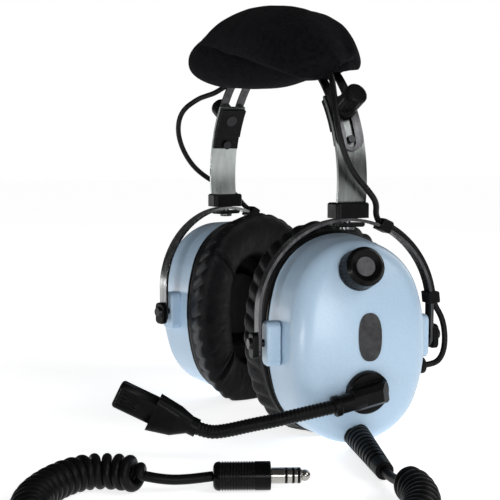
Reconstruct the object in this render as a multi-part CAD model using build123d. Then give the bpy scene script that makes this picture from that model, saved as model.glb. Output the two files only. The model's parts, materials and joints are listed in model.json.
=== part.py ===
"""Aviation headset: two oval ear cups in spring-steel yokes under a slotted, padded headband,
with a gooseneck boom microphone, a bridge lead between the cups and a curly cord with a plug.

Millimetres. +X is the wearer's left, -Y the way the wearer faces, +Z up. The headset stands on
the bottoms of its two cups, and the origin is under the middle of the headset without its cord.
"""
from build123d import *
from math import asin, cos, degrees, pi, radians, sin, sqrt, tan
import os

# ---------------------------------------------------------------- driving dimensions
ORIGIN = (3.4, -32.0, 0.0)       # the origin's place in the headset's own mid-plane coordinates

# Headband arch: the strap and both arms follow circles about one axis along Y
ARCH_Z = 137.0                   # height of the arch's axis
ARM_R = 74.5                     # mid-surface of the spring-steel arms
ARM_T = 1.5
ARM_W = 17.5
ARM_LOW, ARM_HIGH = -11.6, 36.2  # degrees above the arch's axis
STRAP_T = 1.2
STRAP_W = 16.0
STRAP_GAP = 0.05                 # sliding clearance between arm and strap
STRAP_LOW = 12.0
SLOT_W = 5.6
SLOT_LOW, SLOT_HIGH = 15.6, 51.0
CLAMP_AT = 29.8                  # the clamp screw
GUIDE_AT = 16.6                  # the guide pin
PLATE_LOW, PLATE_STEP, PLATE_HIGH = 14.6, 21.0, 35.6
PLATE_T = 1.4
PLATE_BOSS_T = 1.2
SCREW_R = 2.0
CLAMP_KNOB_R = 5.8
CLAMP_KNOB_H = 12.0
WASHER_H = 2.4

# Head pad, in two cushions above and below the strap
PAD_W = 56.0
PAD_BOTTOM_Z = 189.0
PAD_OUTER_T = 15.0
PAD_NEAR, PAD_FAR = 56.0, 135.5  # where the upper cushion ends, degrees
PAD_HALF_CHORD = 49.0

# Ear cups, in each cup's frame: X outward, Y to the rear, Z up, origin on the tilt axis
CUP_X = 70.0
CUP_Z = 55.0
TOE_IN = 11.0                    # degrees that each cup faces forward
CUP_HALF_W = 39.2
CUP_HALF_H = 54.6
CUP_END_R = 36.8
RIM_X = -12.0
FACE_X = 29.0
CROWN_R = 130.0
SHELL_WALL = 2.4
SHELL_TAPER = 5.0
SHELL_EDGE_R = 13.0
LUG = (10.0, 7.0, 23.0)
LUG_Y = 41.8
LUG_X = 1.5
PLATE_THICK = 3.4                # the seal plate closing the shell
SEAL_T = 21.0
SEAL_OPEN = (19.0, 33.5, 18.4)   # half width, half height, end radius of the seal's opening
SEAL_EDGE_R = 8.0

# Yoke: a flat strip over each cup, from one tilt pivot to the other
YOKE_R = 48.3
YOKE_T = 1.6
YOKE_W = 7.0
YOKE_SPRING_Z = 14.2             # where the legs turn into the arch
YOKE_END_Z = -6.0
PIVOT_R = 2.0
RUNNING = 0.05                   # radial running clearance
BLOCK = (12.0, 20.0, 8.0)        # swivel block
SWIVEL_X = 70.0

# Controls on the left cup
VOLUME_Y, VOLUME_Z = -3.2, 38.5
VOLUME_R = 10.5
VOLUME_H = 11.5
KNURLS = 32
CAP_R = 4.9
BOOM_Z = -22.0
HUB_R = 11.2
HUB_H = 3.4
BOOM_DIP = 13.0                  # degrees that the boom points below level
ARM_AXIS_H = 5.6                 # the boom's axis above the cup's face
ARM_TUBE_R = 4.6
ARM_REACH = 16.5
COLLAR_R = 5.2
COLLAR_L = 3.6
GOOSE_R = 3.5
KNUCKLE_R = 4.0                  # upright knuckle inside the gooseneck, on which its two halves turn
KNUCKLE_L = 7.0
KNUCKLE_GAP = 0.25

# Cord, plug and bridge lead
CORD_R = 2.3
COIL_R = 7.5
LEAD_R = 1.6
PLUG_R = 6.5
PLUG_BARREL = 26.0
PLUG_FINGER_R = 3.57
PLUG_FINGER = 18.0
PLUG_SHANK_R = 3.2               # the finger where it is held in the barrel
PLUG_STEP = 0.4                  # how far the shank shows past the barrel's face
PLUG_RING_AT = (6.3, 9.5, 12.0)  # insulating rings, from the barrel's face
PLUG_RING_L = 1.2
BOOT_ROOT_R, BOOT_TIP_R = 7.2, 4.4
BOOT_RINGS = 10

GOOSE_LEAD_IN = 9.0              # straight length out of the collar
GOOSE_BASE_ROUTE = [(92.0, -42.0, 24.2), (87.0, -51.5, 21.6), (79.8, -61.5, 18.8)]
GOOSE_TIP_ROUTE = [(73.2, -72.0, 15.6), (67.8, -80.1, 14.5), (63.8, -87.2, 18.4)]
MIC_END = (46.0, -119.0, 36.0)

BOOT_ROOT = (80.0, -2.4, 9.4)
BOOT_TIP = (135.0, -21.0, 5.2)
LEAD_ROUTE = [BOOT_TIP, (147.5, -24.6, 4.4), (160.0, -26.0, 7.8)]
COIL_ROUTE = [
    (160.0, -26.0, 7.8), (181.0, -34.0, 7.8), (202.0, -54.0, 7.8), (213.0, -85.0, 7.8),
    (212.0, -119.0, 7.8), (198.0, -151.0, 7.8), (172.0, -176.0, 7.8), (140.0, -188.0, 7.8),
    (110.0, -182.0, 7.8), (89.0, -165.0, 7.8), (80.0, -147.0, 7.8), (87.0, -133.5, 7.8),
    (98.0, -126.0, 7.8)]
TAIL_ROUTE = [(98.0, -126.0, 7.8), (102.0, -116.5, 6.0), (105.0, -106.0, 5.6), (108.4, -96.2, 6.6)]
PLUG_DIR = (0.44, 0.898, 0.0)

BRIDGE_Y = -3.0                  # the bridge lead's place across the strap
BRIDGE_R = 78.5                  # its radius about the arch's axis
BRIDGE_ENDS = (53.0, 129.0)
LEFT_UPPER_ROUTE = [
    (75.0, 14.5, 119.4), (79.6, 12.0, 126.5), (80.8, 5.0, 133.5), (80.4, -2.5, 141.0), (80.0, -8.0, 150.5),
    (78.4, -10.6, 161.0), (75.8, -11.0, 172.0), (71.5, -9.4, 182.0), (64.0, -6.0, 190.5),
    (55.5, -3.8, 196.0)]
RIGHT_UPPER_ROUTE = [
    (-75.0, 14.5, 119.4), (-79.6, 12.0, 126.0), (-81.6, 3.5, 131.0), (-82.0, -7.0, 136.0),
    (-81.5, -18.0, 144.0),
    (-81.0, -26.0, 156.0), (-79.5, -29.5, 168.0), (-75.5, -28.0, 179.0), (-69.0, -20.0, 186.0),
    (-62.5, -17.0, 187.7), (-58.7, -13.5, 189.1), (-55.6, -9.0, 192.4), (-52.4, -4.5, 195.4)]
LOOP_ROUTE = [(2.0, 44.5, -16.4), (2.0, 50.6, -16.8), (1.4, 56.2, -11.5), (0.6, 57.8, -2.0), (0.2, 56.0, 8.5)]
CLIP_ANGLES = (7.0, 65.0)        # lead clips along the yoke's arch, degrees
CLIP_REACH = 4.5                 # how far the lead follows the yoke past its clips, degrees
GROMMET_R = 4.4

made = {}


# ---------------------------------------------------------------- helpers
def arch_point(radius, angle, y=0.0):
    """A point about the arch's axis, angle in degrees from +X towards +Z."""
    return Vector(radius * cos(radians(angle)), y, ARCH_Z + radius * sin(radians(angle)))


def arc_band(r_in, r_out, low, high, width):
    """A strip of the arch between two radii and two angles, centred on Y = 0."""
    mid = (low + high) / 2
    face = Face(Wire([
        ThreePointArc(arch_point(r_out, low), arch_point(r_out, mid), arch_point(r_out, high)),
        Line(arch_point(r_out, high), arch_point(r_in, high)),
        ThreePointArc(arch_point(r_in, high), arch_point(r_in, mid), arch_point(r_in, low)),
        Line(arch_point(r_in, low), arch_point(r_out, low))]))
    return extrude(face, amount=width / 2, dir=(0, 1, 0), both=True)


def arch_plane(radius, angle):
    """A plane on the arch whose normal points out along the radius."""
    a = radians(angle)
    return Plane(origin=arch_point(radius, angle), x_dir=(0, 1, 0), z_dir=(cos(a), 0, sin(a)))


def cup_plane(x):
    """A plane across a cup, with its X to the rear, its Y up and its normal outward."""
    return Plane(origin=(x, 0, 0), x_dir=(0, 1, 0), z_dir=(1, 0, 0))


def crown_plane(y, z, lift=0.0):
    """A plane tangent to the cup's crowned face, at a place across and up the cup."""
    outward = Vector(sqrt(CROWN_R ** 2 - y ** 2 - z ** 2), y, z).normalized()
    centre = Vector(FACE_X - CROWN_R, 0, 0)
    across = Vector(0, 0, 1).cross(outward)
    return Plane(origin=centre + outward * (CROWN_R + lift), x_dir=across, z_dir=outward)


def oval(half_w, half_h, end_r):
    """A four-arc oval, tall along Y of its own plane."""
    end_y = half_h - end_r
    side_r = (end_y ** 2 + half_w ** 2 - end_r ** 2) / (2 * (half_w - end_r))
    side_x = side_r - half_w
    span = sqrt(side_x ** 2 + end_y ** 2)
    tx = end_r * side_x / span
    ty = end_y + end_r * end_y / span
    return make_face(Curve() + [
        ThreePointArc((tx, -ty), (half_w, 0), (tx, ty)),
        ThreePointArc((tx, ty), (0, half_h), (-tx, ty)),
        ThreePointArc((-tx, ty), (-half_w, 0), (-tx, -ty)),
        ThreePointArc((-tx, -ty), (0, -half_h), (tx, -ty))])


def dome(inset):
    """The cup's domed form, inset all round by a wall thickness."""
    outline = oval(CUP_HALF_W - inset, CUP_HALF_H - inset, CUP_END_R - inset)
    body = extrude(cup_plane(RIM_X) * outline, amount=FACE_X - RIM_X + 5, taper=SHELL_TAPER)
    crown = Pos(FACE_X - CROWN_R, 0, 0) * Sphere(CROWN_R - inset)
    body = body & crown
    edges = body.edges().filter_by(lambda e: e.center().X > RIM_X + 12 and e.length > 10)
    rim = [e for e in edges if e.geom_type != GeomType.LINE and min(v.X for v in e.vertices()) > RIM_X + 20]
    return fillet(rim, SHELL_EDGE_R - inset)


def to_left(shape):
    """From a cup's frame to the left side of the headset."""
    return Pos(CUP_X, 0, CUP_Z) * Rot(0, 0, -TOE_IN) * shape


def to_right(shape):
    return mirror(to_left(shape), about=Plane.YZ)


def corner_radii(points):
    """Arc radii for a soft line through the points, as large as the runs allow."""
    radii = []
    for before, here, after in zip(points, points[1:], points[2:]):
        run_in = Vector(here) - Vector(before)
        run_out = Vector(after) - Vector(here)
        turn = radians(run_in.get_angle(run_out))
        radii.append(0.45 * min(run_in.length, run_out.length) / tan(turn / 2))
    return radii


def soft_tube(points, radius, name):
    """A round tube along straight runs joined by tangent arcs."""
    if len(points) > 2:
        radii = corner_radii(points)
        path = FilletPolyline(*points, radius=radii)
        print(f"{name}: radii {[round(r, 1) for r in radii]}")
    else:
        path = Line(*points)
    start = Vector(points[0])
    section = Plane(origin=start, z_dir=Vector(points[1]) - start) * Circle(radius)
    tube = sweep(section, path=path)
    expected = pi * radius ** 2 * path.length
    print(f"{name}: length {path.length:.1f}, volume over section x length {tube.volume / expected:.4f}")
    return tube


def rod(start, direction, length, radius, far_radius=None):
    """A cylinder, or a cone, from a point along a direction."""
    plane = Plane(origin=start, z_dir=direction)
    align = (Align.CENTER, Align.CENTER, Align.MIN)
    if far_radius is None:
        return plane * Cylinder(radius, length, align=align)
    return plane * Cone(radius, far_radius, length, align=align)


def keep(name, shape):
    """Moves a finished piece to the model's origin and holds it for export."""
    made[name] = Pos(-ORIGIN[0], -ORIGIN[1], -ORIGIN[2]) * shape


def keep_pair(name, left_shape):
    """Keeps a piece of the left side and its mirror image on the right."""
    keep("left_" + name, left_shape)
    keep("right_" + name, mirror(left_shape, about=Plane.YZ))


# ---------------------------------------------------------------- headband
STRAP_IN = ARM_R + ARM_T / 2 + STRAP_GAP
STRAP_OUT = STRAP_IN + STRAP_T


def make_strap():
    round_r = STRAP_W / 2
    straight_low = STRAP_LOW + degrees(round_r / STRAP_IN)
    strap = arc_band(STRAP_IN, STRAP_OUT, straight_low, 180 - straight_low, STRAP_W)
    for angle in (straight_low, 180 - straight_low):
        ends = sorted((angle, angle - 9 if angle < 90 else angle + 9))
        end = arc_band(STRAP_IN, STRAP_OUT, ends[0], ends[1], STRAP_W)
        strap += end & (arch_plane(STRAP_IN, angle) * Cylinder(round_r, 12))
    for low, high in ((SLOT_LOW, SLOT_HIGH), (180 - SLOT_HIGH, 180 - SLOT_LOW)):
        strap -= arc_band(STRAP_IN - 2, STRAP_OUT + 2, low, high, SLOT_W)
        for angle in (low, high):
            strap -= arch_plane(STRAP_IN, angle) * Cylinder(SLOT_W / 2, 8)
    return strap


def make_pad_outer():
    inner = BRIDGE_R + LEAD_R + 0.3
    pad = arc_band(inner, inner + PAD_OUTER_T, PAD_NEAR, PAD_FAR, PAD_W)
    arcs = [e for e in pad.edges().filter_by(GeomType.CIRCLE) if abs(e.center().Y) > 1]
    top = [e for e in arcs if e.radius > inner + 1]
    return fillet(top, 6.0)


def make_pad_inner():
    radius = STRAP_IN - 0.5
    low = degrees(asin((PAD_BOTTOM_Z - ARCH_Z) / radius))
    left = arch_point(radius, low)
    right = arch_point(radius, 180 - low)
    face = Face(Wire([ThreePointArc(left, arch_point(radius, 90), right), Line(right, left)]))
    pad = extrude(face, amount=PAD_W / 2, dir=(0, 1, 0), both=True)
    pad &= Pos(0, 0, PAD_BOTTOM_Z) * Box(2 * PAD_HALF_CHORD, 2 * PAD_W, 100)
    bottom = [e for e in pad.edges() if abs(e.center().Z - PAD_BOTTOM_Z) < 0.01]
    return fillet(bottom, 3.5)


# ---------------------------------------------------------------- arms and clamps
def make_arm():
    arm = arc_band(ARM_R - ARM_T / 2, ARM_R + ARM_T / 2, ARM_LOW, ARM_HIGH, ARM_W)
    for angle in (CLAMP_AT, GUIDE_AT):
        arm -= arch_plane(ARM_R, angle) * Cylinder(SCREW_R + 0.02, 8)
    return arm


def make_nut_plate():
    face = ARM_R - ARM_T / 2
    plate = arc_band(face - PLATE_T, face, PLATE_LOW, PLATE_HIGH, ARM_W - 0.8)
    plate += arc_band(face - PLATE_T - PLATE_BOSS_T, face - PLATE_T, PLATE_STEP, PLATE_HIGH, ARM_W - 0.8)
    plate -= arch_plane(ARM_R, CLAMP_AT) * Cylinder(SCREW_R + 0.02, 20)
    plate -= arch_plane(face - PLATE_T - PLATE_BOSS_T, CLAMP_AT) * Cylinder(3.6, 2 * 1.4)
    plate -= arch_plane(ARM_R, GUIDE_AT) * Cylinder(SCREW_R + 0.02, 20)
    return plate


def make_arm_screws():
    """The clamp screw, its head set in the nut plate, and the guide pin."""
    seat = ARM_R - ARM_T / 2 - PLATE_T - PLATE_BOSS_T
    outward = arch_point(1, CLAMP_AT) - Vector(0, 0, ARCH_Z)
    shank = rod(arch_point(seat + 0.2, CLAMP_AT), outward, 13.0, SCREW_R)
    head = rod(arch_point(seat - 0.4, CLAMP_AT), outward, 1.7, 3.5)
    pin_in = ARM_R - ARM_T / 2 - PLATE_T - 1.2
    outward = arch_point(1, GUIDE_AT) - Vector(0, 0, ARCH_Z)
    pin = rod(arch_point(pin_in, GUIDE_AT), outward, 6.2, SCREW_R)
    pin += rod(arch_point(pin_in - 0.6, GUIDE_AT), outward, 1.7, 2.6)
    return Compound([shank + head, pin])


def make_clamp_knob():
    """A ribbed thumb knob with its washer, bored for the clamp screw."""
    align = (Align.CENTER, Align.CENTER, Align.MIN)
    base = arch_plane(STRAP_OUT + 0.1, CLAMP_AT)
    body = Pos(0, 0, WASHER_H) * Cylinder(CLAMP_KNOB_R, CLAMP_KNOB_H, align=align)
    body = fillet(body.edges().filter_by(GeomType.CIRCLE).sort_by(Axis.Z)[-1], 1.2)
    washer = Cylinder(CLAMP_KNOB_R + 0.7, WASHER_H, align=align)
    washer = fillet(washer.edges().filter_by(GeomType.CIRCLE), 0.6)
    ribs = 18
    for i in range(ribs):
        a = 2 * pi * i / ribs
        groove = Cylinder(0.45, CLAMP_KNOB_H, align=align)
        body -= Pos(CLAMP_KNOB_R * cos(a), CLAMP_KNOB_R * sin(a), WASHER_H + 1.2) * groove
    knob = body + washer
    knob -= Cylinder(SCREW_R + RUNNING, 2 * 11.0)
    return base * knob


def make_swivel_block(arm):
    block = Pos(SWIVEL_X + 1.2, 0, CUP_Z + YOKE_SPRING_Z + YOKE_R + YOKE_T / 2 + 0.12)
    block = block * Box(*BLOCK, align=(Align.CENTER, Align.CENTER, Align.MIN))
    block = fillet(block.edges().filter_by(Axis.Z), 2.5)
    block = chamfer(block.faces().sort_by(Axis.Z)[-1].edges(), 0.8)
    block -= arm
    return block - Pos(SWIVEL_X, 0, 118) * Cylinder(SCREW_R + 0.02, 7.6)


# ---------------------------------------------------------------- yokes
YOKE_TOP = YOKE_SPRING_Z + YOKE_R


def yoke_outline(radius):
    """Half the yoke's path: legs and arch in the cup's Y-Z plane, at a given radius."""
    return [
        Line((0, -radius, YOKE_END_Z), (0, -radius, YOKE_SPRING_Z)),
        ThreePointArc((0, -radius, YOKE_SPRING_Z), (0, 0, YOKE_SPRING_Z + radius), (0, radius, YOKE_SPRING_Z)),
        Line((0, radius, YOKE_SPRING_Z), (0, radius, YOKE_END_Z))]


def make_yoke():
    outer, inner = YOKE_R + YOKE_T / 2, YOKE_R - YOKE_T / 2
    face = Face(Wire(yoke_outline(outer) + [
        Line((0, outer, YOKE_END_Z), (0, inner, YOKE_END_Z)),
        Line((0, inner, YOKE_END_Z), (0, inner, YOKE_SPRING_Z)),
        ThreePointArc((0, inner, YOKE_SPRING_Z), (0, 0, YOKE_SPRING_Z + inner), (0, -inner, YOKE_SPRING_Z)),
        Line((0, -inner, YOKE_SPRING_Z), (0, -inner, YOKE_END_Z)),
        Line((0, -inner, YOKE_END_Z), (0, -outer, YOKE_END_Z))]))
    yoke = extrude(face, amount=YOKE_W / 2, dir=(1, 0, 0), both=True)
    yoke = fillet([e for e in yoke.edges().filter_by(Axis.Y) if e.center().Z < 0], 2.8)
    yoke -= Rot(90, 0, 0) * Cylinder(PIVOT_R + 0.02, 120)
    return yoke - Pos(0, 0, YOKE_TOP) * Cylinder(SCREW_R + RUNNING, 10)


def make_yoke_plate():
    half = 9.0
    top = YOKE_SPRING_Z + sqrt((YOKE_R - YOKE_T / 2) ** 2 - half ** 2) - 0.05
    plate = Pos(0, 0, top) * Box(9.5, 2 * half, 2.0, align=(Align.CENTER, Align.CENTER, Align.MAX))
    plate = fillet(plate.edges().filter_by(Axis.Z), 2.5)
    plate = chamfer(plate.faces().sort_by(Axis.Z)[0].edges(), 0.7)
    return plate - Pos(0, 0, top) * Cylinder(SCREW_R + RUNNING, 10)


def make_swivel_screw():
    """The vertical screw the yoke swivels on, with a low head under the yoke plate."""
    top = YOKE_SPRING_Z + sqrt((YOKE_R - YOKE_T / 2) ** 2 - 81) - 2.05
    shank_low = CUP_Z + top - 0.4
    upward = (Align.CENTER, Align.CENTER, Align.MIN)
    downward = (Align.CENTER, Align.CENTER, Align.MAX)
    shank = Pos(SWIVEL_X, 0, shank_low) * Cylinder(SCREW_R, 121.4 - shank_low, align=upward)
    head = Pos(SWIVEL_X, 0, CUP_Z + top - 0.05) * Cylinder(3.8, 1.6, align=downward)
    return shank + fillet(head.edges().filter_by(GeomType.CIRCLE).sort_by(Axis.Z)[0], 0.6)


def make_pivot_clips():
    """The moulded end clips over the yoke's feet."""
    outer = YOKE_R + YOKE_T / 2
    clips = []
    for side in (-1, 1):
        clip = Pos(0, side * (outer + 0.02 + 1.5), -1.0) * Box(8.6, 3.0, 13.0)
        clip = fillet(clip.edges().filter_by(Axis.Y), 2.6)
        clip = chamfer([e for e in clip.edges() if abs(e.center().Y) > outer + 2.5], 0.6)
        clip -= Rot(90, 0, 0) * Cylinder(PIVOT_R + 0.02, 120)
        clips.append(clip)
    return Compound(clips)


def make_pivot_pins():
    outer = YOKE_R + YOKE_T / 2 + 3.02
    pins = []
    for side in (-1, 1):
        pin = rod((0, side * (outer + 0.1), 0), (0, -side, 0), outer - 41.4, PIVOT_R)
        pin += rod((0, side * (outer + 0.02), 0), (0, side, 0), 1.5, 3.3, 2.7)
        pins.append(pin)
    return Compound(pins)


def make_lead_clips(yoke):
    """Two small moulded clips that hold the bridge lead against the yoke."""
    clips = []
    for angle in CLIP_ANGLES:
        a = radians(angle)
        mid = YOKE_R + 1.2
        plane = Plane(origin=(0, mid * cos(a), YOKE_SPRING_Z + mid * sin(a)), x_dir=(1, 0, 0),
                      z_dir=(0, cos(a), sin(a)))
        clip = plane * Box(9.6, 6.0, 6.4)
        clip = chamfer(clip.faces().sort_by(Axis(plane.origin, plane.z_dir))[-1].edges(), 0.8)
        clip -= yoke
        clip -= lead_on_yoke(LEAD_R + 0.15)
        clips.append(max(clip.solids(), key=lambda solid: solid.volume))
    return Compound(clips)


# ---------------------------------------------------------------- ear cups
def make_shell():
    shell = dome(0) - dome(SHELL_WALL)
    for side in (-1, 1):
        lug = Pos(LUG_X, side * LUG_Y, 0) * Box(*LUG)
        lug = fillet(lug.edges().filter_by(Axis.Y), 3.5)
        lug = fillet([e for e in lug.edges() if abs(e.center().Y) > LUG_Y + LUG[1] / 2 - 0.1], 1.6)
        shell += lug - dome(SHELL_WALL)
        shell -= rod((0, side * (LUG_Y + LUG[1] / 2 + 1), 0), (0, -side, 0), 5.2, PIVOT_R + RUNNING)
    grommet = LOOP_ROUTE[0]
    return shell - rod((grommet[0], grommet[1] + 3, grommet[2]), (0, -1, 0), 14, 2.7)


def make_left_shell(shell):
    """The left shell's holes for the volume shaft, the boom's spindle and the strain relief."""
    left = shell - crown_plane(VOLUME_Y, VOLUME_Z) * Cylinder(3.6, 16)
    left -= crown_plane(0, BOOM_Z) * Cylinder(4.0 + RUNNING, 16)
    left = to_left(left)
    direction = Vector(BOOT_TIP) - Vector(BOOT_ROOT)
    start = Vector(BOOT_ROOT) - direction.normalized() * 9
    return left - rod(start, direction, 26, 5.6)


def make_seal_plate():
    outline = oval(CUP_HALF_W + 0.9, CUP_HALF_H + 0.4, CUP_END_R + 0.5)
    plate = extrude(cup_plane(RIM_X - 0.02) * outline, amount=-PLATE_THICK)
    plate = fillet([e for e in plate.edges() if e.geom_type == GeomType.CIRCLE], 0.8)
    opening = oval(SEAL_OPEN[0] + 1, SEAL_OPEN[1] + 1, SEAL_OPEN[2] + 0.9)
    return plate - extrude(cup_plane(RIM_X + 1) * opening, amount=-12)


def make_ear_seal():
    back = RIM_X - PLATE_THICK - 0.1
    outline = oval(CUP_HALF_W + 0.6, CUP_HALF_H - 0.4, CUP_END_R + 0.2)
    seal = extrude(cup_plane(back) * outline, amount=-SEAL_T)
    seal -= extrude(cup_plane(back + 1) * oval(*SEAL_OPEN), amount=-SEAL_T - 2)
    outer = [e for e in seal.edges() if e.geom_type == GeomType.CIRCLE
             and e.center().X < back - SEAL_T + 0.01]
    return fillet(outer, SEAL_EDGE_R)


def make_speaker():
    """A sealed driver behind the seal plate: basket, magnet and perforated front."""
    front = RIM_X - 1.0
    cone = rod((front, 0, 2), (1, 0, 0), 3.0, 19.0)
    basket = rod((front + 3.0, 0, 2), (1, 0, 0), 4.0, 17.0, 10.0)
    return cone + basket + rod((front + 7.0, 0, 2), (1, 0, 0), 4.0, 10.0)


def make_foam():
    """Damping foam behind the driver."""
    foam = Pos(5.5, 0, 2) * Box(9.0, 46.0, 48.0)
    foam = fillet(foam.edges().filter_by(Axis.X), 10.0)
    return foam


def make_grommet():
    """The rubber bush where the bridge lead enters the shell's rear wall."""
    x, y, z = LOOP_ROUTE[0]
    bush = rod((x, y, z), (0, -1, 0), 3.4, GROMMET_R)
    bush = fillet(bush.edges().filter_by(GeomType.CIRCLE), 1.2)
    bush -= dome(0)
    bush += rod((x, y - 1, z), (0, -1, 0), 9.0, 2.6)
    return bush - rod((x, y + 1, z), (0, -1, 0), 20.0, LEAD_R + 0.02)


# ---------------------------------------------------------------- controls on the left cup
def make_volume_knob():
    align = (Align.CENTER, Align.CENTER, Align.MIN)
    knob = Cone(VOLUME_R, VOLUME_R - 0.7, VOLUME_H, align=align)
    knob = chamfer(knob.edges().filter_by(GeomType.CIRCLE).sort_by(Axis.Z)[-1], 1.6)
    for i in range(KNURLS):
        a = 2 * pi * i / KNURLS
        knob -= Pos(VOLUME_R * cos(a), VOLUME_R * sin(a), 1.4) * Cylinder(0.5, VOLUME_H - 3.0, align=align)
    knob -= Pos(0, 0, VOLUME_H) * Cone(CAP_R, 7.6, 1.6, align=(Align.CENTER, Align.CENTER, Align.MAX))
    knob -= Pos(0, 0, VOLUME_H - 2.8) * Cylinder(CAP_R + 0.02, 3.0, align=align)
    knob -= Cylinder(3.0 + 0.02, 12.0)
    return crown_plane(VOLUME_Y, VOLUME_Z, 0.35) * knob


def make_volume_cap():
    cap = Pos(0, 0, VOLUME_H - 2.8) * Cylinder(CAP_R, 1.7, align=(Align.CENTER, Align.CENTER, Align.MIN))
    cap = chamfer(cap.edges().filter_by(GeomType.CIRCLE).sort_by(Axis.Z)[-1], 0.3)
    return crown_plane(VOLUME_Y, VOLUME_Z, 0.35) * cap


def make_volume_pot():
    """The potentiometer inside the shell, with its bush and shaft through the wall."""
    align = (Align.CENTER, Align.CENTER, Align.MAX)
    pot = Pos(0, 0, -SHELL_WALL - 0.9) * Cylinder(7.0, 7.0, align=align)
    pot += Pos(0, 0, -0.3) * Cylinder(3.5, 3.4, align=align)
    pot += Pos(0, 0, 5.9) * Cylinder(2.9, 7.0, align=align)
    return crown_plane(VOLUME_Y, VOLUME_Z) * pot


def boom_frame():
    """The boom's frame on the cup: X along the arm, Z out of the face."""
    return crown_plane(0, BOOM_Z, 0.35) * Rot(0, 0, 180 + BOOM_DIP)


def make_boom_hub():
    """A turning disc with a faceted arm that carries the gooseneck."""
    align = (Align.CENTER, Align.CENTER, Align.MIN)
    disc = Cylinder(HUB_R, HUB_H, align=align)
    disc = chamfer(disc.edges().filter_by(GeomType.CIRCLE).sort_by(Axis.Z)[-1], 1.0)
    arm = Pos(-9.6, 0, 1.0) * Box(19.0, 11.0, 8.4, align=(Align.MIN, Align.CENTER, Align.MIN))
    arm = chamfer(arm.edges().filter_by(Axis.X).sort_by(Axis.Z)[-2:], 2.4)
    arm = chamfer(arm.faces().sort_by(Axis.X)[0].edges().sort_by(Axis.Z)[-1], 4.2)
    tube = Pos(4, 0, ARM_AXIS_H) * Rot(0, 90, 0) * Cylinder(ARM_TUBE_R, ARM_REACH - 4, align=align)
    spindle = Pos(0, 0, -9.0) * Cylinder(4.0, 10.0, align=align)
    return disc + arm + tube + spindle


def make_boom_collar():
    align = (Align.CENTER, Align.CENTER, Align.MIN)
    ring = fillet(Cylinder(COLLAR_R, COLLAR_L, align=align).edges().filter_by(GeomType.CIRCLE), 0.7)
    ring -= Cylinder(GOOSE_R + 0.02, 4 * COLLAR_L)
    return Pos(ARM_REACH + 0.02, 0, ARM_AXIS_H) * Rot(0, 90, 0) * ring


def make_gooseneck(start, lead_in):
    """The gooseneck's two halves and the knuckle between them, fixed to the first."""
    joint = Pos(*GOOSE_BASE_ROUTE[-1])
    base = soft_tube([start, lead_in] + GOOSE_BASE_ROUTE, GOOSE_R, "gooseneck_base")
    tip = soft_tube([GOOSE_BASE_ROUTE[-1]] + GOOSE_TIP_ROUTE, GOOSE_R, "gooseneck_tip")
    knuckle = joint * Cylinder(KNUCKLE_R, KNUCKLE_L)
    base -= joint * Cylinder(KNUCKLE_R, 2 * KNUCKLE_L)
    tip -= joint * Cylinder(KNUCKLE_R + KNUCKLE_GAP, 2 * KNUCKLE_L)
    return base, knuckle, tip


# ---------------------------------------------------------------- cord, plug, bridge lead
def make_strain_relief():
    root, tip = Vector(BOOT_ROOT), Vector(BOOT_TIP)
    direction = (tip - root).normalized()
    length = (tip - root).length
    plane = Plane(origin=root, z_dir=direction)
    align = (Align.CENTER, Align.CENTER, Align.MIN)
    boot = Cone(BOOT_ROOT_R, BOOT_TIP_R, length, align=align)
    first = 12.0
    pitch = (length - first - 6.0) / BOOT_RINGS
    for i in range(BOOT_RINGS):
        z = first + pitch * i
        r = BOOT_ROOT_R + (BOOT_TIP_R - BOOT_ROOT_R) * z / length
        groove = Cylinder(r + 2, pitch * 0.42, align=align) - Cylinder(r - 1.0, pitch * 0.42, align=align)
        boot -= Pos(0, 0, z) * groove
    boot = plane * boot - to_left(dome(0))
    boot = max(boot.solids(), key=lambda s: s.volume)
    boot += rod(root - direction * 6, direction, 20, 5.5)
    return boot - rod(root - direction * 8, direction, length + 10, CORD_R + 0.02)


def make_plug():
    start = Vector(TAIL_ROUTE[-1])
    align = (Align.CENTER, Align.CENTER, Align.MIN)
    plane = Plane(origin=start, z_dir=PLUG_DIR)
    barrel = Cylinder(PLUG_R, PLUG_BARREL, align=align)
    circles = barrel.edges().filter_by(GeomType.CIRCLE).sort_by(Axis.Z)
    barrel = fillet(circles[0], 2.6)
    barrel = fillet(barrel.edges().filter_by(GeomType.CIRCLE).sort_by(Axis.Z)[-1], 0.5)
    ribs, rib_from, rib_to = 13, 3.4, 19.4
    pitch = (rib_to - rib_from) / ribs
    for i in range(ribs):
        z = rib_from + pitch * i
        groove = Cylinder(PLUG_R + 1, pitch * 0.4, align=align)
        groove -= Cylinder(PLUG_R - 0.45, pitch * 0.4, align=align)
        barrel -= Pos(0, 0, z) * groove
    barrel -= Pos(0, 0, PLUG_BARREL - 4.0) * Cylinder(PLUG_SHANK_R + 0.02, 6.0, align=align)
    neck = PLUG_FINGER - 4.6
    finger = Pos(0, 0, PLUG_BARREL - 3.9) * Cylinder(PLUG_SHANK_R, 5.0, align=align)
    finger += Pos(0, 0, PLUG_BARREL + PLUG_STEP) * Cylinder(PLUG_FINGER_R, neck - PLUG_STEP, align=align)
    finger += Pos(0, 0, PLUG_BARREL + neck) * Cone(PLUG_FINGER_R, 1.6, 1.4, align=align)
    finger += Pos(0, 0, PLUG_BARREL + PLUG_FINGER - 2.6) * Sphere(2.6)
    rings = []
    for at in PLUG_RING_AT:
        ring = Cylinder(PLUG_FINGER_R, PLUG_RING_L, align=align)
        ring -= Cylinder(PLUG_FINGER_R - 0.7, PLUG_RING_L, align=align)
        ring = Pos(0, 0, PLUG_BARREL + at) * ring
        finger -= ring
        rings.append(plane * ring)
    return plane * barrel, plane * finger, Compound(rings)


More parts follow.
